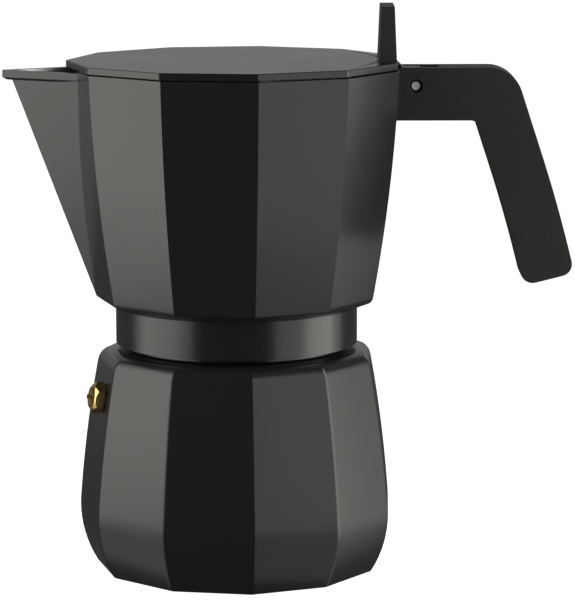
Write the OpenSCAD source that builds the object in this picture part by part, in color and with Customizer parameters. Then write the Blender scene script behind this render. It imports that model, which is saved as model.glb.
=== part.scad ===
// Stovetop moka pot: a many-sided boiler and collector that screw together, with a brew
// funnel, a safety valve, a flat hinged lid and a slanted side handle.
// The origin is the centre of the boiler's flat bottom. +Z is up, +X points to the handle
// and -X to the spout. Radii of many-sided parts are measured to their corners.

/* [Faceted body] */
// Number of flat sides round the boiler, the collector and the lid
facets = 11; // [9:2:11]
// Wall thickness of the boiler and collector castings
wall = 3; // [2.6:0.1:3.2]

/* [Boiler] */
// Corner radius at the widest ring
boiler_wide_r = 57.6; // [57:0.1:58.5]
// Height of the widest ring
boiler_wide_z = 22; // [20:0.5:24]
// Height of the boiler's flat top, under the screw collar
boiler_h = 80.6; // [79.8:0.1:81.4]
// Radius of the curve below the widest ring
belly_r = 40; // [38:1:44]
// Radius of the long curve from the widest ring to the shoulder
taper_r = 460; // [430:10:500]
// Radius of the shoulder
shoulder_r = 6; // [5:0.5:7]
// Radius of the bottom edge
foot_r = 2; // [1.5:0.5:3]
// Thickness of the boiler's bottom
base_t = 4; // [3:0.5:5]
// Angle by which the tightened boiler's sides are out of line with the collector's
boiler_turn = -1.7; // [-6:0.1:6]

/* [Screw joint] */
// Outer radius of the boiler's neck at the root of its thread
neck_r = 38.6; // [38.2:0.1:38.8]
// Radius of the neck's bore, which the funnel hangs in
neck_bore_r = 34; // [33.8:0.1:34.4]
// Height of the neck's rim
neck_top = 92.4; // [92:0.1:92.6]
// Outer radius of the round collar below the collector
collar_r = 43.8; // [43.4:0.1:44.4]
// Height of the collar's lower edge
collar_bottom = 82.8; // [82.4:0.1:83.4]
// Distance between the thread's ridges
thread_pitch = 3; // [2.5:0.1:3]
// Height of a thread ridge
thread_depth = 0.8; // [0.6:0.1:0.8]

/* [Collector] */
// Corner radius at the rim
rim_r = 60.7; // [60.4:0.1:61]
// Height of the rim
rim_z = 182; // [181.6:0.1:182.1]
// Corner radius at the lower end of the sides, before its edge is rounded
collector_low_r = 51; // [50.8:0.1:51.4]
// Height of that lower end
collector_low_z = 98.8; // [98.6:0.1:99.2]
// How far the sides bow out from a straight line
side_bow = 1.5; // [1:0.1:2]
// Radius of the rounded lower edge
low_edge_r = 3; // [2:0.5:4]
// Slope of the underside next to that edge
underside_slope = 20; // [18:1:22]
// Height at which the underside meets the round collar
collar_top = 96.35; // [96.2:0.05:96.5]
// Height of the inside floor
floor_z = 100.4; // [100.2:0.1:101]
// Height of the coffee column
column_top = 154; // [148:1:160]
// Radius of the passage up the coffee column
column_bore_r = 4.2; // [3.8:0.1:4.4]

/* [Spout] */
// How far the spout's ridge leans out from vertical
spout_lean = 20.6; // [20:0.2:22]
// Half the angle between the spout's two sides, seen from above
spout_half_angle = 32; // [30:0.5:33]
// Distance from the pot's axis to the tip of the lip
lip_reach = 83.9; // [83.6:0.1:84.4]
// Height of the lip's top edge
lip_z = 181.4; // [181.2:0.1:181.6]
// Height of the lip's band
lip_h = 2.5; // [2:0.1:3]
// Thickness of the spout's walls
spout_wall = 2.2; // [2:0.1:2.6]

/* [Lid] */
// Corner radius of the lid
lid_r = 60.7; // [60.6:0.1:60.8]
// Height of the lid's top face
lid_top = 185; // [184.8:0.1:185.4]
// Thickness of the lid
lid_t = 2.6; // [2.4:0.1:2.8]
// Offset of the lid towards the spout
lid_offset = 0.4; // [0.3:0.1:0.6]
// Height of the knob's top
knob_top = 204.5; // [200:0.5:208]
// Width of the knob at its foot
knob_w = 30; // [26:1:32]

/* [Hinge] */
// Distance from the pot's axis to the hinge pin
pin_x = 64.4; // [64.3:0.1:64.6]
// Height of the hinge pin
pin_z = 176; // [175.9:0.1:176.2]
// Radius of the hinge pin
pin_r = 1.5; // [1.4:0.1:1.6]
// Width of the lid's arm
arm_w = 7; // [6:0.5:7]

/* [Handle] */
// Height of the handle's top face
handle_top = 182.5; // [182.4:0.1:182.6]
// Depth of the horizontal arm from top to underside
handle_arm_h = 18.9; // [18.7:0.1:19.3]
// Width of the handle from cheek to cheek
handle_w = 16.5; // [15:0.5:18]
// Distance from the pot's axis to the outer top corner, before it is rounded
handle_reach = 99.5; // [98:0.5:102]
// Thickness of the grip
grip_t = 18.9; // [18:0.1:20]
// Lean of the grip's upper part from vertical
grip_lean_high = 18.1; // [16:0.1:19]
// Lean of the grip's lower part from vertical
grip_lean_low = 14.1; // [12:0.1:16]
// Length of the handle's outer edge from the top corner to the change of lean
grip_high_l = 51.6; // [48:0.2:54]
// Length of the handle's outer edge from the change of lean to the lower end
grip_low_l = 25.8; // [22:0.2:30]

/* [Safety valve] */
// Height of the valve's centre on the boiler wall
valve_z = 64.5; // [60:0.2:66]
// Width of the valve's hexagon across its flats
valve_af = 10; // [9:0.5:11]
// Distance of the valve from the middle of its flat side, towards -Y
valve_shift = 4.4; // [0:0.2:5]
// Radius of the valve's threaded shank
valve_shank_r = 4; // [3.8:0.1:4.2]

/* [Funnel and filter] */
// Outer radius of the funnel's basket
basket_r = 33.3; // [33:0.1:33.4]
// Depth of the basket from its rim to its perforated disc
basket_depth = 28; // [24:1:30]
// Outer radius of the funnel's tube
tube_r = 5.2; // [4.8:0.1:5.4]
// Gap between the tube's foot and the boiler's floor
tube_gap = 3.5; // [3:0.5:5]
// Thickness of the funnel's and the filter's sheet metal
sheet_t = 0.8; // [0.6:0.1:0.8]
// Radius of the filter holes
hole_r = 0.8; // [0.6:0.1:0.9]
// Rings of filter holes round the centre one
hole_rings = 5; // [3:1:5]
// Outer radius of the gasket
gasket_r = 36.4; // [36:0.1:36.5]
// Inner radius of the gasket
gasket_bore_r = 28; // [27:0.5:29]
// Thickness of the gasket
gasket_t = 4; // [3.8:0.1:4]

/* [Hidden] */

$fn = 96;
paint = [0.13, 0.125, 0.12];
plastic = [0.09, 0.085, 0.08];
brass = [0.74, 0.56, 0.25];
steel = [0.72, 0.72, 0.7];
bare_aluminium = [0.78, 0.78, 0.77];
rubber = [0.86, 0.85, 0.8];

fit_gap = 0.02;
seat_gap = 0.05;
clip_w = 60;
flat_ratio = cos(180 / facets);

// Boiler outline: foot, belly, taper and shoulder are arcs that run into each other.
taper_start = 4.4;
belly_c = [boiler_wide_r - belly_r, boiler_wide_z];
taper_c = belly_c + (belly_r - taper_r) * [cos(taper_start), sin(taper_start)];
shoulder_z = boiler_h - shoulder_r;
taper_end = asin((shoulder_z - taper_c[1]) / (taper_r - shoulder_r));
shoulder_c = taper_c + (taper_r - shoulder_r) * [cos(taper_end), sin(taper_end)];
inner_foot_r = 4;

// Collector side: one long arc from the lower end to the rim.
side_low = [collector_low_r, collector_low_z];
side_high = [rim_r, rim_z];
side_l = norm(side_high - side_low);
side_arc_r = side_l * side_l / (8 * side_bow) + side_bow / 2;
side_along = (side_high - side_low) / side_l;
side_out = [side_along[1], -side_along[0]];
side_c = (side_high + side_low) / 2 - (side_arc_r - side_bow) * side_out;

// Screw joint
thread_first = boiler_h + 3.8;
collar_bore_r = neck_r + 2;
thread_clearance = 0.35;
flange_r = 36.2;
flange_z = neck_top + seat_gap;
gasket_z = flange_z + sheet_t + seat_gap;
gasket_top = gasket_z + gasket_t;
seat_z = gasket_top + seat_gap;
pocket_z = neck_top + 1.8;
pocket_r = gasket_r + 0.3;
plate_r = gasket_bore_r + 3;

// Funnel
basket_floor = flange_z - basket_depth;
disc_t = 0.7;
cone_low_r = tube_r + sheet_t + fit_gap;
cone_h = 11;
socket_h = 6;
disc_ledge_w = 1.3;
disc_gap = 0.1;
disc_pitch = 5.4;
plate_pitch = 4.9;
hole_sides = 24;

// Coffee column: a tube that stands on the floor's conical rise and is pressed in to it
column_foot_top = floor_z + 7;
column_foot_r = 29;
column_low_r = 8.4;
column_high_r = 6.4;
column_spigot_r = 6;
column_spigot_l = 3;
column_cap_t = 3;
column_outlet_r = 2.6;

// Spout ridge: it leaves the side just above the collector's lower edge.
ridge_low = [-side_low[0] - 0.65, 98.6];
spout_bar_angle = atan(tan(spout_half_angle) / cos(spout_lean));
ridge_round_r = 1.2;
channel_round_r = 0.6;
spout_bar_l = 110;
spout_bar_d = 34;
lip_root_x = 56;
lip_root_w = 16.4;
lip_tip_w = 1.5;
lip_overlap = 6;
lip_cove_h = 0.9;
lip_cove_d = 1.2;

// Lid and hinge
lid_z = lid_top - lid_t;
lid_edge_x = lid_r * flat_ratio - lid_offset;
knob_x_low = [51.2, 57.4];
knob_x_high = [51.9, 56.7];
knob_w_high = knob_w - 8;
knob_screw_x = 54.3;
knob_screw_y = 7;
lid_hole_r = 1.6;
lid_sink_r = 2.9;
knob_screw_r = 1.4;
knob_hole_r = knob_screw_r + fit_gap;
knob_hole_h = 10;
arm_r = 5;
arm_root_l = 4;
arm_heel = 5.4;
arm_nose = [4.2, 2.2];
arm_crest = [1.9, -4.2];
slot_w = arm_w + 0.6;
slot_start = 50;
slot_end = pin_x + 8.3;
slot_z = handle_top - handle_arm_h + 3.2;
tongue_top = pin_z - arm_r - 0.6;
counterbore_r = 2.4;
counterbore_d = 1.6;
pin_end_inset = 0.9;
pin_l = handle_w - 2 * pin_end_inset;

// Handle outline, clockwise from the top by the collector: x, z and corner radius
handle_under = handle_top - handle_arm_h;
lean_high = [sin(grip_lean_high), -cos(grip_lean_high)];
lean_low = [sin(grip_lean_low), -cos(grip_lean_low)];
grip_mid_lean = (grip_lean_high + grip_lean_low) / 2;
outer_top = [handle_reach, handle_top];
outer_mid = outer_top + grip_high_l * lean_high;
outer_low = outer_mid + grip_low_l * lean_low;
inner_low = outer_low - grip_t * [cos(grip_lean_low), sin(grip_lean_low)];
inner_mid = outer_mid - grip_t * [cos(grip_mid_lean), sin(grip_mid_lean)];
inner_top = inner_mid + lean_high * (handle_under - inner_mid[1]) / lean_high[1];
outer_top_r = 12;
inner_top_r = 2.2;
bow_r = 520;
outer_low_r = 4.4;
inner_low_r = 4.5;
handle_screw_x = 68.4;
handle_screw_r = 1.2;
handle_screw_l = 5.4;
handle_screw_head_r = 2.8;
handle_screw_head_t = 1.35;
handle_sink_r = 3;
handle_sink_h = 2.7;
handle_hole_r = 1.6;
knob_screw_head_r = 2.75;
knob_screw_head_t = 1.45;
knob_screw_l = 10;

// Valve: its own Z axis runs out of the boiler wall, square to the facet.
valve_azimuth = -180 + 180 / facets;
valve_tilt = atan(tan(asin((valve_z - taper_c[1]) / taper_r)) * flat_ratio);
valve_x = (taper_c[0] + sqrt(pow(taper_r, 2) - pow(valve_z - taper_c[1], 2))) * flat_ratio;
valve_seal_t = 0.6;
hex_t = 3.6;
hex_chamfer = 5.2;
valve_nose_t = 0.7;
valve_nose_r = 3.7;
valve_shank_l = 8.5;
valve_boss_r = 8;
valve_boss_t = 6;
valve_mouth = valve_seal_t + seat_gap + hex_t + valve_nose_t;
valve_bore_r = 2.8;
valve_seat_r = 1.5;
valve_guide_t = 0.9;
plunger_r = 2.4;
plunger_seat_z = -1.2;
plunger_head_t = 1;
stem_r = 0.9;
spring_coil_r = 1.9;
spring_wire_r = 0.25;
spring_turns = 4;
spring_sides = 8;
spring_steps = 14;

// ---- Outline functions ----

// Points along an arc about c
function arc(c, r, from, to, n = 6) =
  [for (i = [0:n]) let (a = from + (to - from) * i / n) c + r * [cos(a), sin(a)]];

function unit(v) = v / norm(v);

// Rounded corner at b between a and c
function corner(a, b, c, r, n = 8) =
  let (
    u = unit(a - b),
    v = unit(c - b),
    half = acos(u * v) / 2,
    m = b + unit(u + v) * r / sin(half),
    start = b + u * r / tan(half) - m,
    end = b + v * r / tan(half) - m,
    from = atan2(start[1], start[0]),
    turn = atan2(start[0] * end[1] - start[1] * end[0], start * end)
  )
  arc(m, r, from, from + turn, n);

// Boiler outline, set in by t, from its bottom at height z up to its shoulder
function foot_c(t, z, r) =
  [belly_c[0] + sqrt(pow(belly_r - t - r, 2) - pow(belly_c[1] - z - r, 2)), z + r];

function boiler_outline(t, z, r) =
  let (c = foot_c(t, z, r), foot_end = atan2(c[1] - belly_c[1], c[0] - belly_c[0]))
  concat(
    arc(c, r, -90, foot_end, 5),
    arc(belly_c, belly_r - t, foot_end + 4, taper_start, 8),
    arc(taper_c, taper_r - t, taper_start + 1, taper_end - 1, 5),
    arc(shoulder_c, shoulder_r - t, taper_end, 90, 6)
  );

// Corner radius of the collector's side at height z, set in by t
function side_r(z, t = 0) = side_c[0] + sqrt(pow(side_arc_r - t, 2) - pow(z - side_c[1], 2));

function side_angle(z, t = 0) = asin((z - side_c[1]) / (side_arc_r - t));

// Centre of a curve of radius r that runs into the collector's side, set in by t, at height z
function side_round_c(z, r, t) =
  [side_c[0] + sqrt(pow(side_arc_r - t - r, 2) - pow(z - side_c[1], 2)), z];

// Rounded lower edge of the collector, from the underside up to the side
function low_edge() =
  let (
    inward = side_low - 8 * [cos(underside_slope), sin(underside_slope)],
    above_z = side_low[1] + 4 * low_edge_r
  )
  corner(inward, side_low, [side_r(above_z), above_z], low_edge_r, 6);

function collector_outline() =
  let (edge = low_edge(), start = side_angle(side_low[1] + 1.5 * low_edge_r))
  concat(
    [[0, edge[0][1]]],
    edge,
    arc(side_c, side_arc_r, start, side_angle(rim_z), 9),
    [[0, rim_z]]
  );

function cavity_outline() =
  let (r = 4, c = side_round_c(floor_z + r, r, wall), a = side_angle(c[1], wall))
  concat(
    [[0, floor_z]],
    arc(c, r, -90, a, 6),
    arc(side_c, side_arc_r - wall, a + 0.5, side_angle(rim_z, wall), 9),
    [[side_r(rim_z, wall), rim_z + 1], [0, rim_z + 1]]
  );

// Positions of the filter holes: one in the centre and six more in each ring
function hole_places(pitch) =
  concat(
    [[0, 0]],
    [for (ring = [1:hole_rings], i = [0:6 * ring - 1])
      ring * pitch * [cos(60 * i / ring), sin(60 * i / ring)]]
  );

// ---- Shared shapes ----

module faceted(points) {
  rotate_extrude($fn = facets) polygon(points);
}

module ring(outer, inner, z, h) {
  translate([0, 0, z]) difference() {
    cylinder(r = outer, h = h);
    translate([0, 0, -1]) cylinder(r = inner, h = h + 2);
  }
}

// Ridges of the screw joint, standing out of radius r by depth
module thread(r, depth, z, count) {
  half_low = 0.9;
  half_high = 0.35;
  root = r - sign(depth) * 0.4;
  for (i = [0:count - 1])
    translate([0, 0, z + i * thread_pitch])
      rotate_extrude()
        polygon([[root, -half_low], [r, -half_low], [r + depth, -half_high],
                 [r + depth, half_high], [r, half_low], [root, half_low]]);
}

// Extrudes an x-z outline across Y
module across(w) {
  rotate([90, 0, 0]) translate([0, 0, -w / 2]) linear_extrude(height = w) children();
}

module at_valve() {
  rotate([0, 0, boiler_turn + valve_azimuth])
    translate([valve_x, valve_shift, valve_z])
      rotate([0, 90 - valve_tilt, 0])
        children();
}

module perforated(r, t, pitch) {
  difference() {
    cylinder(r = r, h = t);
    for (p = hole_places(pitch))
      translate([p[0], p[1], -1])
        cylinder(r = hole_r, h = t + 2, $fn = hole_sides);
  }
}

// ---- Boiler and safety valve ----

module boiler() {
  neck_low = boiler_h - 1;
  color(paint) difference() {
    union() {
      difference() {
        rotate([0, 0, boiler_turn])
          faceted(concat([[0, 0]], boiler_outline(0, 0, foot_r), [[0, boiler_h]]));
        rotate([0, 0, boiler_turn])
          faceted(concat([[0, base_t]], boiler_outline(wall, base_t, inner_foot_r),
                         [[0, boiler_h - wall]]));
      }
      translate([0, 0, neck_low]) cylinder(r = neck_r, h = neck_top - neck_low);
      thread(neck_r, thread_depth, thread_first, 3);
      at_valve() translate([0, 0, -1 - valve_boss_t]) cylinder(r = valve_boss_r, h = valve_boss_t);
    }
    translate([0, 0, boiler_h - wall - 1]) cylinder(r = neck_bore_r, h = 20);
    at_valve() translate([0, 0, -2 * valve_boss_t])
      cylinder(r = valve_shank_r + fit_gap, h = 4 * valve_boss_t);
  }
}

module valve_seal() {
  color("sienna") at_valve() ring(valve_af / 2, valve_shank_r + fit_gap, seat_gap / 2, valve_seal_t);
}

module valve_body() {
  hex_z = valve_seal_t + seat_gap;
  corner_r = valve_af / 2 / cos(30);
  color(brass) at_valve() difference() {
    union() {
      intersection() {
        translate([0, 0, hex_z]) cylinder(r = corner_r, h = hex_t, $fn = 6);
        translate([0, 0, hex_z - 3])
          cylinder(r1 = corner_r + hex_chamfer, r2 = valve_af / 2 - 0.4, h = hex_t + 3);
      }
      translate([0, 0, hex_z + hex_t - 0.5]) cylinder(r = valve_nose_r, h = valve_nose_t + 0.5);
      translate([0, 0, -valve_shank_l]) cylinder(r = valve_shank_r, h = valve_shank_l + hex_z + 1);
    }
    translate([0, 0, plunger_seat_z]) cylinder(r = valve_bore_r, h = 20);
    translate([0, 0, -valve_shank_l - 1]) cylinder(r = valve_seat_r, h = 2 * valve_shank_l);
  }
}

module valve_plunger() {
  color(brass) at_valve() translate([0, 0, plunger_seat_z + seat_gap]) {
    cylinder(r = plunger_r, h = plunger_head_t);
    cylinder(r = stem_r, h = valve_mouth - plunger_seat_z + 1);
  }
}

// Helix swept as one closed tube
module valve_spring() {
  low = plunger_seat_z + seat_gap + plunger_head_t + spring_wire_r + seat_gap;
  high = valve_mouth - valve_guide_t - spring_wire_r - seat_gap;
  rings = spring_turns * spring_steps;
  points = [for (i = [0:rings], j = [0:spring_sides - 1])
    let (
      turn = 360 * i / spring_steps,
      side = 360 * j / spring_sides,
      r = spring_coil_r + spring_wire_r * cos(side),
      z = low + (high - low) * i / rings + spring_wire_r * sin(side)
    )
    [r * cos(turn), r * sin(turn), z]];
  walls = [for (i = [0:rings - 1], j = [0:spring_sides - 1])
    let (a = i * spring_sides, b = a + spring_sides, k = (j + 1) % spring_sides)
    [a + j, b + j, b + k, a + k]];
  start = [for (j = [0:spring_sides - 1]) j];
  end = [for (j = [spring_sides - 1:-1:0]) rings * spring_sides + j];
  color(steel) at_valve() polyhedron(points, concat(walls, [start], [end]));
}

module valve_guide() {
  color(brass) at_valve()
    ring(valve_bore_r - fit_gap, stem_r + 0.1, valve_mouth - valve_guide_t, valve_guide_t);
}

// ---- Funnel, gasket and filter ----

module funnel_basket() {
  t = sheet_t;
  top = flange_z + t;
  ledge_z = basket_floor - 0.3;
  color(bare_aluminium) rotate_extrude() polygon([
    [basket_r - t, top],
    [flange_r, top],
    [flange_r, top - t],
    [basket_r, top - t],
    [basket_r, basket_floor - t],
    [cone_low_r, basket_floor - cone_h],
    [cone_low_r, basket_floor - cone_h - socket_h],
    [cone_low_r - t, basket_floor - cone_h - socket_h],
    [cone_low_r - t, basket_floor - cone_h + t / 2],
    [basket_r - t - disc_ledge_w, ledge_z],
    [basket_r - t, ledge_z]
  ]);
}

module funnel_tube() {
  foot = base_t + tube_gap;
  top = basket_floor - cone_h;
  color(bare_aluminium) ring(tube_r, tube_r - sheet_t, foot, top - foot);
}

module funnel_disc() {
  color(steel) translate([0, 0, basket_floor]) perforated(basket_r - sheet_t - disc_gap, disc_t, disc_pitch);
}

module gasket() {
  step = sheet_t + fit_gap;
  step_r = plate_r + 0.1;
  color(rubber) rotate_extrude() polygon([
    [gasket_bore_r, gasket_z],
    [gasket_r, gasket_z],
    [gasket_r, gasket_top],
    [step_r, gasket_top],
    [step_r, gasket_top - step],
    [gasket_bore_r, gasket_top - step]
  ]);
}

module filter_plate() {
  color(steel) translate([0, 0, gasket_top - sheet_t]) perforated(plate_r, sheet_t, plate_pitch);
}

// ---- Collector ----

// V-shaped bar along the spout's ridge. Its apex is set in by t from the outer ridge.
module spout_bar(t, round_r) {
  left = [spout_bar_d, spout_bar_d * tan(spout_bar_angle)];
  right = [left[0], -left[1]];
  translate([ridge_low[0], 0, ridge_low[1]])
    rotate([0, -spout_lean, 0])
      linear_extrude(height = spout_bar_l)
        translate([t / sin(spout_bar_angle), 0])
          polygon(concat([left], corner(left, [0, 0], right, round_r, 6), [right]));
}

// Plan of the lip's band, set in by t
module lip_plan(t) {
  polygon([
    [-lip_reach + 1.4 * t, -lip_tip_w + t / 2],
    [-lip_reach + 1.4 * t, lip_tip_w - t / 2],
    [-lip_root_x, lip_root_w - t],
    [-lip_root_x + lip_overlap, lip_root_w - t],
    [-lip_root_x + lip_overlap, -lip_root_w + t],
    [-lip_root_x, -lip_root_w + t]
  ]);
}

// Band round the spout's mouth, which tapers in to the spout's sides below
module lip() {
  foot = lip_z - lip_h;
  hull() {
    translate([0, 0, foot]) linear_extrude(height = lip_h) lip_plan(0);
    translate([0, 0, foot - lip_cove_h]) linear_extrude(height = 0.1) lip_plan(lip_cove_d);
  }
}

module spout_outside() {
  intersection() {
    union() {
      spout_bar(0, ridge_round_r);
      lip();
    }
    translate([-lip_reach - 1, -clip_w / 2, 0]) cube([lip_reach - 40, clip_w, lip_z]);
  }
}

module spout_channel() {
  intersection() {
    spout_bar(spout_wall, channel_round_r);
    translate([-lip_reach, -clip_w / 2, floor_z + 4]) cube([lip_reach - 20, clip_w, rim_z]);
  }
}

// Underside of the collector, which runs from the many-sided edge to the round collar
module underside() {
  edge = low_edge()[0];
  hull() {
    translate([0, 0, collar_top]) cylinder(r = collar_r, h = 0.01);
    faceted([[0, edge[1] - 0.01], [edge[0], edge[1] - 0.01], edge, [0, edge[1]]]);
  }
}

// Conical rise of the collector's floor, which the column stands on
module column_foot() {
  translate([0, 0, floor_z - 0.5])
    cylinder(r1 = column_foot_r, r2 = column_low_r, h = column_foot_top - floor_z + 0.5);
}

// Hollow under the floor, which leads the coffee from the filter to the column
module column_recess() {
  recess_r = gasket_bore_r;
  recess_top = column_foot_top - column_spigot_l;
  translate([0, 0, seat_z - 0.5])
    cylinder(r1 = recess_r, r2 = column_spigot_r, h = recess_top - seat_z + 0.5);
  translate([0, 0, recess_top - 1]) cylinder(r = column_spigot_r + fit_gap, h = column_spigot_l + 2);
}

module coffee_column() {
  foot = column_foot_top + seat_gap;
  outlet_z = column_top - column_cap_t - column_outlet_r - 2.4;
  color(bare_aluminium) difference() {
    union() {
      translate([0, 0, foot]) cylinder(r1 = column_low_r, r2 = column_high_r, h = column_top - foot);
      translate([0, 0, foot - column_spigot_l]) cylinder(r = column_spigot_r, h = column_spigot_l + 1);
    }
    translate([0, 0, seat_z]) cylinder(r = column_bore_r, h = column_top - column_cap_t - seat_z);
    translate([0, column_low_r + 1, outlet_z])
      rotate([90, 0, 0])
        cylinder(r = column_outlet_r, h = 2 * column_low_r + 2);
  }
}

// Tongue on the collector that the handle slides over and is screwed to
module tongue() {
  x0 = side_r(slot_z) * flat_ratio - 1.5;
  translate([x0, -arm_w / 2, slot_z + 0.1])
    cube([slot_end - 0.4 - x0, arm_w, tongue_top - slot_z - 0.1]);
}

module collector() {
  color(paint) difference() {
    union() {
      difference() {
        union() {
          faceted(collector_outline());
          underside();
          spout_outside();
        }
        faceted(cavity_outline());
        spout_channel();
      }
      translate([0, 0, collar_bottom]) cylinder(r = collar_r, h = seat_z + 2 - collar_bottom);
      column_foot();
      tongue();
    }
    difference() {
      translate([0, 0, collar_bottom - 1]) cylinder(r = collar_bore_r, h = pocket_z - collar_bottom + 1);
      thread(collar_bore_r, neck_r + thread_depth + thread_clearance - collar_bore_r,
             thread_first + thread_pitch / 2, 2);
    }
    translate([0, 0, pocket_z - 1]) cylinder(r = pocket_r, h = seat_z - pocket_z + 1);
    column_recess();
    translate([handle_screw_x, 0, slot_z - 1])
      cylinder(r = handle_screw_r + fit_gap, h = tongue_top - slot_z);
  }
}

// ---- Handle and hinge ----

module handle_outline() {
  gap = 0.1;
  foot_x = side_r(handle_under) * flat_ratio + gap;
  top_x = side_r(rim_z) * flat_ratio + gap;
  chamfer = 0.5;
  foot_steps = 4;
  start = [top_x, handle_top];
  polygon(concat(
    [[top_x, handle_top - chamfer], [top_x + chamfer, handle_top]],
    corner(start, outer_top, outer_mid, outer_top_r),
    corner(outer_top, outer_mid, outer_low, bow_r, 6),
    corner(outer_mid, outer_low, inner_low, outer_low_r, 6),
    corner(outer_low, inner_low, inner_mid, inner_low_r, 6),
    corner(inner_low, inner_mid, inner_top, bow_r, 6),
    corner(inner_mid, inner_top, [foot_x, handle_under], inner_top_r, 5),
    [for (i = [0:foot_steps - 1])
      let (z = handle_under + (rim_z - handle_under) * i / foot_steps)
      [side_r(z) * flat_ratio + gap, z]]
  ));
}

module handle() {
  color(plastic) difference() {
    across(handle_w) handle_outline();
    translate([slot_start, -slot_w / 2, slot_z]) cube([slot_end - slot_start, slot_w, handle_arm_h]);
    translate([pin_x, 0, pin_z]) rotate([90, 0, 0]) {
      translate([0, 0, -handle_w]) cylinder(r = pin_r + fit_gap, h = 2 * handle_w);
      for (side = [-1, 1])
        translate([0, 0, side * handle_w / 2 - counterbore_d])
          cylinder(r = counterbore_r, h = 2 * counterbore_d);
    }
    translate([handle_screw_x, 0, handle_under - 1]) {
      cylinder(r = handle_hole_r, h = slot_z - handle_under + 2);
      cylinder(r = handle_sink_r, h = handle_sink_h);
    }
  }
}

// Cross recess cut into the underside of a screw's head
module cross_slot(length, width, depth) {
  for (a = [0, 90])
    rotate([0, 0, a])
      translate([-length / 2, -width / 2, -1])
        cube([length, width, depth + 1]);
}

module handle_screw() {
  head_z = handle_under + 0.3;
  color(steel) translate([handle_screw_x, 0, head_z]) difference() {
    union() {
      cylinder(r = handle_screw_head_r, h = handle_screw_head_t);
      cylinder(r = handle_screw_r, h = handle_screw_l);
    }
    cross_slot(3.4, 0.7, 0.7);
  }
}

module hinge_pin() {
  color(steel) translate([pin_x, pin_l / 2, pin_z]) rotate([90, 0, 0]) cylinder(r = pin_r, h = pin_l);
}

// ---- Lid and knob ----

// Arm that steps down from the lid's edge into the handle's slot
module lid_arm_outline() {
  heel_x = pin_x - arm_heel;
  root_x = lid_edge_x - arm_root_l;
  crest_z = handle_top - 0.2;
  translate([pin_x, pin_z]) circle(r = arm_r);
  polygon([
    [root_x, lid_z],
    [heel_x, lid_z],
    [heel_x, pin_z],
    [pin_x, pin_z],
    [pin_x, pin_z] + arm_nose,
    [pin_x + arm_crest[0], crest_z],
    [pin_x + arm_crest[1], crest_z],
    [lid_edge_x - 0.4, lid_top],
    [root_x, lid_top]
  ]);
}

module lid() {
  running_gap = 0.05;
  color(paint) difference() {
    union() {
      translate([-lid_offset, 0, lid_z]) rotate([0, 0, 180]) cylinder(r = lid_r, h = lid_t, $fn = facets);
      across(arm_w) lid_arm_outline();
    }
    translate([pin_x, arm_w, pin_z]) rotate([90, 0, 0]) cylinder(r = pin_r + running_gap, h = 2 * arm_w);
    for (side = [-1, 1]) translate([knob_screw_x, side * knob_screw_y, lid_z]) {
      translate([0, 0, -1]) cylinder(r = lid_hole_r, h = lid_t + 2);
      translate([0, 0, -0.01]) cylinder(r1 = lid_sink_r, r2 = lid_hole_r, h = 1.5);
    }
  }
}

// Block that narrows upwards both along the pot and across it
module knob() {
  foot = lid_top;
  color(plastic) difference() {
    intersection() {
      across(knob_w + 2)
        polygon([[knob_x_low[0], foot], [knob_x_low[1], foot], [knob_x_high[1], knob_top],
                 [knob_x_high[0], knob_top]]);
      rotate([90, 0, 90]) linear_extrude(height = 2 * knob_screw_x)
        polygon([[-knob_w / 2, foot], [knob_w / 2, foot], [knob_w_high / 2, knob_top],
                 [-knob_w_high / 2, knob_top]]);
    }
    for (side = [-1, 1])
      translate([knob_screw_x, side * knob_screw_y, foot - 1])
        cylinder(r = knob_hole_r, h = knob_hole_h);
  }
}

module knob_screws() {
  color(steel) for (side = [-1, 1])
    translate([knob_screw_x, side * knob_screw_y, lid_z + 0.05]) difference() {
      union() {
        cylinder(r1 = knob_screw_head_r, r2 = knob_screw_r, h = knob_screw_head_t);
        cylinder(r = knob_screw_r, h = knob_screw_l);
      }
      cross_slot(3, 0.6, 0.7);
    }
}

boiler();
valve_seal();
valve_body();
valve_plunger();
valve_spring();
valve_guide();
funnel_basket();
funnel_tube();
funnel_disc();
gasket();
filter_plate();
collector();
coffee_column();
handle();
handle_screw();
hinge_pin();
lid();
knob();
knob_screws();
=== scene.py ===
import math

import bpy
from mathutils import Euler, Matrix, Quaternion, Vector

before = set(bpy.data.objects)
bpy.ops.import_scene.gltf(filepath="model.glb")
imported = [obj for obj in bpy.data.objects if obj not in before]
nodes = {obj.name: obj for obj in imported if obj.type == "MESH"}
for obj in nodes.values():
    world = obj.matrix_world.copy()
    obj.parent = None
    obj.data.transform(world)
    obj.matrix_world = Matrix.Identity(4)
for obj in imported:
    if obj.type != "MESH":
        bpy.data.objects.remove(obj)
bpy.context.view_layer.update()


# ---- Node helpers ----

def new_material(name):
    material = bpy.data.materials.new(name)
    material.use_nodes = True
    tree = material.node_tree
    return material, tree, tree.nodes["Principled BSDF"]


def add(tree, kind, **sockets):
    node = tree.nodes.new(kind)
    for name, value in sockets.items():
        node.inputs[name.replace("_", " ")].default_value = value
    return node


def noise(tree, vector, scale, detail=3.0, roughness=0.5):
    node = add(tree, "ShaderNodeTexNoise", Scale=scale, Detail=detail, Roughness=roughness)
    tree.links.new(vector, node.inputs["Vector"])
    return node.outputs["Fac"]


def remap(tree, value, low, high, to_low, to_high):
    node = tree.nodes.new("ShaderNodeMapRange")
    node.inputs["From Min"].default_value = low
    node.inputs["From Max"].default_value = high
    node.inputs["To Min"].default_value = to_low
    node.inputs["To Max"].default_value = to_high
    tree.links.new(value, node.inputs["Value"])
    return node.outputs["Result"]


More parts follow.
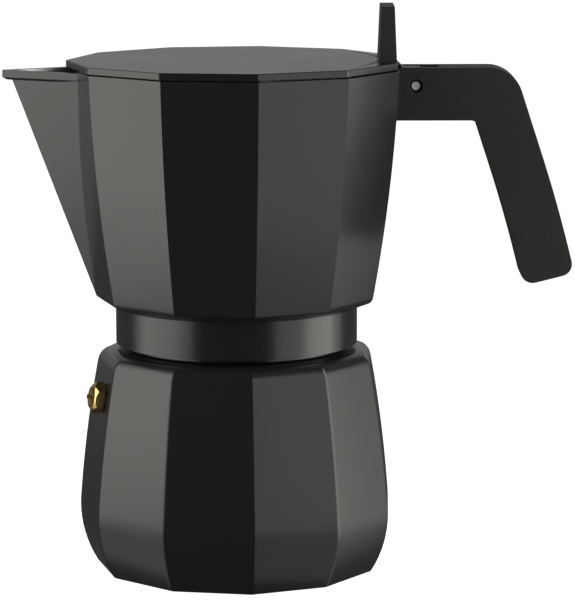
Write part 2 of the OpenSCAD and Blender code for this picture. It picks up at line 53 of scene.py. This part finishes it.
def mix_colors(tree, factor, dark, light):
    node = tree.nodes.new("ShaderNodeMix")
    node.data_type = "RGBA"
    node.inputs[6].default_value = (*dark, 1.0)
    node.inputs[7].default_value = (*light, 1.0)
    tree.links.new(factor, node.inputs[0])
    return node.outputs[2]


def bump(tree, height, strength, distance, normal=None):
    node = tree.nodes.new("ShaderNodeBump")
    node.inputs["Strength"].default_value = strength
    node.inputs["Distance"].default_value = distance
    tree.links.new(height, node.inputs["Height"])
    if normal is not None:
        tree.links.new(normal, node.inputs["Normal"])
    return node.outputs["Normal"]


def position(tree):
    return tree.nodes.new("ShaderNodeTexCoord").outputs["Object"]


def stretched(tree, vector, scale):
    node = tree.nodes.new("ShaderNodeMapping")
    node.inputs["Scale"].default_value = scale
    tree.links.new(vector, node.inputs["Vector"])
    return node.outputs["Vector"]


def math_node(tree, operation, first, second):
    node = tree.nodes.new("ShaderNodeMath")
    node.operation = operation
    for socket, value in zip(node.inputs, (first, second)):
        if isinstance(value, float):
            socket.default_value = value
        else:
            tree.links.new(value, socket)
    return node.outputs["Value"]


# ---- Materials ----

def black_paint():
    """Satin enamel with a faint orange peel and slightly uneven gloss."""
    material, tree, shader = new_material("satin_black_enamel")
    spot = position(tree)
    cloud = noise(tree, spot, 30.0, 4.0, 0.6)
    grain = noise(tree, spot, 2600.0, 2.0, 0.5)
    peel = noise(tree, spot, 420.0, 2.0, 0.5)
    shader.inputs["Metallic"].default_value = 0.0
    shader.inputs["IOR"].default_value = 1.55
    color = mix_colors(tree, cloud, (0.0155, 0.0148, 0.0142), (0.0195, 0.0188, 0.018))
    tree.links.new(color, shader.inputs["Base Color"])
    tree.links.new(remap(tree, cloud, 0.3, 0.7, 0.21, 0.26), shader.inputs["Roughness"])
    smooth = bump(tree, peel, 0.06, 0.0004)
    tree.links.new(bump(tree, grain, 0.10, 0.00008, smooth), shader.inputs["Normal"])
    return material


def black_plastic():
    """Matt moulded plastic with a fine grain."""
    material, tree, shader = new_material("matt_black_plastic")
    spot = position(tree)
    cloud = noise(tree, spot, 45.0, 3.0, 0.5)
    grain = noise(tree, spot, 2200.0, 3.0, 0.6)
    shader.inputs["IOR"].default_value = 1.5
    color = mix_colors(tree, cloud, (0.026, 0.0245, 0.022), (0.034, 0.032, 0.029))
    tree.links.new(color, shader.inputs["Base Color"])
    tree.links.new(remap(tree, grain, 0.3, 0.7, 0.5, 0.6), shader.inputs["Roughness"])
    tree.links.new(bump(tree, grain, 0.35, 0.0002), shader.inputs["Normal"])
    return material


def bare_aluminium():
    """Uncoated aluminium with faint turning lines."""
    material, tree, shader = new_material("bare_aluminium")
    spot = position(tree)
    cloud = noise(tree, spot, 60.0, 4.0, 0.6)
    lines = noise(tree, stretched(tree, spot, (1.0, 1.0, 18.0)), 240.0, 2.0, 0.5)
    shader.inputs["Metallic"].default_value = 1.0
    color = mix_colors(tree, cloud, (0.84, 0.84, 0.83), (0.92, 0.92, 0.91))
    tree.links.new(color, shader.inputs["Base Color"])
    tree.links.new(remap(tree, cloud, 0.3, 0.7, 0.28, 0.38), shader.inputs["Roughness"])
    tree.links.new(bump(tree, lines, 0.25, 0.00012), shader.inputs["Normal"])
    return material


def brass():
    """Turned brass, a little uneven in colour."""
    material, tree, shader = new_material("turned_brass")
    spot = position(tree)
    cloud = noise(tree, spot, 260.0, 3.0, 0.6)
    scratches = noise(tree, stretched(tree, spot, (8.0, 1.0, 1.0)), 900.0, 2.0, 0.5)
    shader.inputs["Metallic"].default_value = 1.0
    color = mix_colors(tree, cloud, (0.62, 0.42, 0.15), (0.83, 0.63, 0.28))
    tree.links.new(color, shader.inputs["Base Color"])
    tree.links.new(remap(tree, cloud, 0.3, 0.7, 0.2, 0.32), shader.inputs["Roughness"])
    tree.links.new(bump(tree, scratches, 0.2, 0.00006), shader.inputs["Normal"])
    return material


def steel(name, low, high):
    """Steel whose roughness varies from low to high."""
    material, tree, shader = new_material(name)
    spot = position(tree)
    cloud = noise(tree, spot, 300.0, 3.0, 0.6)
    lines = noise(tree, stretched(tree, spot, (1.0, 14.0, 1.0)), 700.0, 2.0, 0.5)
    shader.inputs["Metallic"].default_value = 1.0
    color = mix_colors(tree, cloud, (0.50, 0.50, 0.50), (0.66, 0.66, 0.65))
    tree.links.new(color, shader.inputs["Base Color"])
    tree.links.new(remap(tree, cloud, 0.3, 0.7, low, high), shader.inputs["Roughness"])
    tree.links.new(bump(tree, lines, 0.2, 0.00005), shader.inputs["Normal"])
    return material


def zinc():
    """Dull bright plating on the hinge pin."""
    material, tree, shader = new_material("zinc_plated_pin")
    spot = position(tree)
    cloud = noise(tree, spot, 900.0, 3.0, 0.6)
    shader.inputs["Metallic"].default_value = 0.15
    color = mix_colors(tree, cloud, (0.85, 0.84, 0.82), (0.98, 0.97, 0.95))
    tree.links.new(color, shader.inputs["Base Color"])
    tree.links.new(remap(tree, cloud, 0.3, 0.7, 0.35, 0.55), shader.inputs["Roughness"])
    tree.links.new(bump(tree, cloud, 0.3, 0.00006), shader.inputs["Normal"])
    return material


def silicone():
    """Off-white moulded silicone."""
    material, tree, shader = new_material("moulded_silicone")
    spot = position(tree)
    cloud = noise(tree, spot, 90.0, 4.0, 0.6)
    grain = noise(tree, spot, 1500.0, 2.0, 0.5)
    shader.inputs["Subsurface Weight"].default_value = 0.15
    shader.inputs["Subsurface Radius"].default_value = (0.002, 0.0018, 0.0015)
    color = mix_colors(tree, cloud, (0.70, 0.69, 0.64), (0.80, 0.79, 0.75))
    tree.links.new(color, shader.inputs["Base Color"])
    tree.links.new(remap(tree, cloud, 0.3, 0.7, 0.45, 0.6), shader.inputs["Roughness"])
    tree.links.new(bump(tree, grain, 0.2, 0.0001), shader.inputs["Normal"])
    return material


def red_fibre():
    """Brown pressed fibre."""
    material, tree, shader = new_material("pressed_fibre")
    spot = position(tree)
    fibres = noise(tree, spot, 1600.0, 4.0, 0.7)
    color = mix_colors(tree, fibres, (0.07, 0.025, 0.014), (0.14, 0.05, 0.028))
    tree.links.new(color, shader.inputs["Base Color"])
    tree.links.new(remap(tree, fibres, 0.3, 0.7, 0.6, 0.8), shader.inputs["Roughness"])
    tree.links.new(bump(tree, fibres, 0.4, 0.00008), shader.inputs["Normal"])
    return material


def pale_floor():
    """White paper that glows a little, so that it stays white under the part."""
    material, tree, shader = new_material("pale_floor")
    spot = position(tree)
    cloud = noise(tree, spot, 6.0, 2.0, 0.5)
    color = mix_colors(tree, cloud, (0.90, 0.90, 0.90), (0.93, 0.93, 0.93))
    tree.links.new(color, shader.inputs["Base Color"])
    shader.inputs["Roughness"].default_value = 0.9
    shader.inputs["Emission Color"].default_value = (1.0, 1.0, 1.0, 1.0)
    shader.inputs["Emission Strength"].default_value = 1.0
    return material


# ---- Looks of the CAD nodes ----

# Where paint gives way to bare metal, in metres from the pot's axis or up from the floor
# Painted shade: below this height the bare neck's foot gets black paint, which stands in for the
# shade in the gap under the collar
NECK_SHADE_PAINT_TOP = 0.0834
BOILER_INSIDE_R = 0.045
BOILER_INSIDE_LOW = 0.001
BOILER_INSIDE_HIGH = 0.079
COLLAR_BORE_R = 0.0405
FLOOR_BELOW = 0.15
HINGE_SIDE_X = 0.058
# Share of a face's normal that points to the axis when it counts as an inside face
INWARD = -0.05
UPWARD = 0.5

BODY_EDGE = 0.0007
BODY_EDGE_ANGLE = 22.0
TRIM_EDGE = 0.0003
TRIM_EDGE_ANGLE = 30.0
WELD_DISTANCE = 0.000002


def dress(name, *materials):
    node = nodes[name]
    node.data.materials.clear()
    for material in materials:
        node.data.materials.append(material)
    return node


def bare_inside(node, is_inside):
    """Give the second material to the faces that is_inside picks by centre and normal."""
    for face in node.data.polygons:
        center = face.center
        across = math.hypot(center.x, center.y)
        outward = (center.x * face.normal.x + center.y * face.normal.y) / max(across, 1e-6)
        face.material_index = int(is_inside(center, across, outward, face.normal.z))


def in_boiler(center, across, outward, up):
    in_height = BOILER_INSIDE_LOW < center.z < BOILER_INSIDE_HIGH
    # The neck is bare only above the painted-shade height; below it, black paint stands in for the
    # shade under the collar
    return center.z > NECK_SHADE_PAINT_TOP or outward < INWARD or across < BOILER_INSIDE_R and in_height


def in_collector(center, across, outward, up):
    on_floor = up > UPWARD and center.z < FLOOR_BELOW
    return across < COLLAR_BORE_R or on_floor or outward < INWARD and center.x < HINGE_SIDE_X


def round_edges(node, width, angle):
    """Round the sharp edges and shade the rest smoothly."""
    for face in node.data.polygons:
        face.use_smooth = True
    weld = node.modifiers.new("weld", "WELD")
    weld.merge_threshold = WELD_DISTANCE
    bevel = node.modifiers.new("edges", "BEVEL")
    bevel.width = width
    bevel.segments = 3
    bevel.limit_method = "ANGLE"
    bevel.angle_limit = math.radians(angle)
    bevel.harden_normals = True
    normals = node.modifiers.new("normals", "WEIGHTED_NORMAL")
    normals.keep_sharp = False


paint = black_paint()
plastic = black_plastic()
aluminium = bare_aluminium()
plain_steel = steel("plain_steel", 0.25, 0.35)
wire_steel = steel("drawn_wire", 0.2, 0.3)
turned_brass = brass()
seal_fibre = red_fibre()
gasket_silicone = silicone()

bare_inside(dress("boiler", paint, aluminium), in_boiler)
bare_inside(dress("collector", paint, aluminium), in_collector)
dress("lid", paint)
for name in ("boiler", "collector", "lid"):
    round_edges(nodes[name], BODY_EDGE, BODY_EDGE_ANGLE)
for name in ("handle", "knob"):
    dress(name, plastic)
    round_edges(nodes[name], TRIM_EDGE, TRIM_EDGE_ANGLE)
for name in ("funnel_basket", "funnel_tube", "coffee_column"):
    dress(name, aluminium)
dress("hinge_pin", zinc())
for name in ("funnel_disc", "filter_plate", "handle_screw", "knob_screws"):
    dress(name, plain_steel)
for name in ("valve_body", "valve_plunger", "valve_guide"):
    dress(name, turned_brass)
dress("valve_spring", wire_steel)
dress("valve_seal", seal_fibre)
dress("gasket", gasket_silicone)


# ---- Stage, light and camera ----

FLOOR_SIZE = 12.0


def make_floor():
    """A pale floor that only the camera sees, so that it casts no grey on the part."""
    bpy.ops.mesh.primitive_plane_add(size=FLOOR_SIZE, location=(0.0, 0.0, 0.0))
    floor = bpy.context.object
    floor.name = "floor"
    floor.data.materials.append(pale_floor())
    floor.visible_glossy = False
    floor.visible_diffuse = False
    floor.visible_shadow = False


WHITE = (1.0, 1.0, 1.0, 1.0)
LIGHT_COLOR = (1.0, 0.975, 0.93)
ROOM_LEVEL = 0.06
BACKDROP_LEVEL = 0.31
PANEL_X = 0.36
PANEL_TOP = 0.47
# Name, place along X, span along Y, span along Z and brightness of each panel. They grade from
# bright at the top and middle to dim at the floor and the ends.
PANELS = (
    ("left_high_panel", -PANEL_X, -0.27, 0.035, 0.05, PANEL_TOP, 2.4),
    ("left_middle_panel", -PANEL_X, -0.27, 0.035, 0.0, 0.05, 2.1),
    ("left_low_panel", -PANEL_X, -0.27, 0.035, -0.03, 0.0, 1.7),
    ("left_edge_panel", -PANEL_X, -0.27, 0.035, -0.06, -0.03, 1.1),
    ("left_back_panel", -PANEL_X, 0.035, 0.10, -0.03, PANEL_TOP, 0.9),
    ("left_front_panel", -PANEL_X, -0.42, -0.27, -0.03, PANEL_TOP, 1.4),
    ("left_floor_panel", -PANEL_X, -0.35, 0.05, -0.50, -0.06, 0.62),
    ("right_panel", PANEL_X, -0.16, 0.06, -0.08, PANEL_TOP, 2.95),
    ("right_back_panel", PANEL_X, 0.06, 0.15, -0.08, PANEL_TOP, 0.95),
    ("right_front_panel", PANEL_X, -0.50, -0.16, -0.06, PANEL_TOP, 1.1),
    ("right_floor_panel", PANEL_X, -0.50, -0.16, -0.55, -0.06, 0.5),
    ("right_low_panel", PANEL_X, -0.16, 0.15, -0.55, -0.08, 0.6),
)


def make_world():
    """A dark room with a pale backdrop behind the part, above the floor."""
    world = bpy.data.worlds.new("studio")
    bpy.context.scene.world = world
    world.use_nodes = True
    tree = world.node_tree
    shader = tree.nodes["Background"]
    parts = tree.nodes.new("ShaderNodeSeparateXYZ")
    tree.links.new(tree.nodes.new("ShaderNodeTexCoord").outputs["Generated"], parts.inputs["Vector"])
    behind = remap(tree, parts.outputs["Y"], 0.5, 0.95, 0.0, BACKDROP_LEVEL)
    above = remap(tree, parts.outputs["Z"], -0.16, 0.06, 0.0, 1.0)
    room = math_node(tree, "ADD", math_node(tree, "MULTIPLY", behind, above), ROOM_LEVEL)
    seen = tree.nodes.new("ShaderNodeLightPath").outputs["Is Camera Ray"]
    shader.inputs["Color"].default_value = WHITE
    tree.links.new(math_node(tree, "MAXIMUM", room, seen), shader.inputs["Strength"])


def light_panel(name, x, y_from, y_to, low, high, radiance):
    """A soft upright panel beside the part, lit on the side that faces it."""
    light = bpy.data.lights.new(name, "AREA")
    light.shape = "RECTANGLE"
    light.size = y_to - y_from
    light.size_y = high - low
    light.energy = radiance * math.pi * light.size * light.size_y
    light.color = LIGHT_COLOR
    lamp = bpy.data.objects.new(name, light)
    bpy.context.scene.collection.objects.link(lamp)
    lamp.location = (x, (y_from + y_to) / 2, (low + high) / 2)
    lamp.rotation_euler = Vector((-x, 0.0, 0.0)).to_track_quat("-Z", "Y").to_euler()
    lamp.visible_camera = False


CAMERA_DISTANCE = 1.1861
CAMERA_HEIGHT = 0.28537
CAMERA_PITCH = 0.1573
CAMERA_HEADING = 0.0136
FOCAL_LENGTH = 198.36
CAMERA_ROLL = 0.0034
SHIFT_X = 0.085
SHIFT_Y = 0.0012
SENSOR = 36.0


def make_camera():
    camera = bpy.data.cameras.new("camera")
    camera.sensor_width = SENSOR
    camera.sensor_fit = "AUTO"
    camera.lens = FOCAL_LENGTH
    camera.shift_x = SHIFT_X
    camera.shift_y = SHIFT_Y
    camera.clip_start = 0.05
    camera.clip_end = 50.0
    holder = bpy.data.objects.new("camera", camera)
    bpy.context.scene.collection.objects.link(holder)
    holder.location = (
        CAMERA_DISTANCE * math.sin(CAMERA_HEADING),
        -CAMERA_DISTANCE * math.cos(CAMERA_HEADING),
        CAMERA_HEIGHT,
    )
    level = Euler((math.pi / 2 - CAMERA_PITCH, 0.0, CAMERA_HEADING)).to_quaternion()
    holder.rotation_euler = (level @ Quaternion((0.0, 0.0, 1.0), -CAMERA_ROLL)).to_euler()
    bpy.context.scene.camera = holder


make_floor()
make_world()
for panel in PANELS:
    light_panel(*panel)
make_camera()
bpy.context.scene.view_settings.view_transform = "Standard"
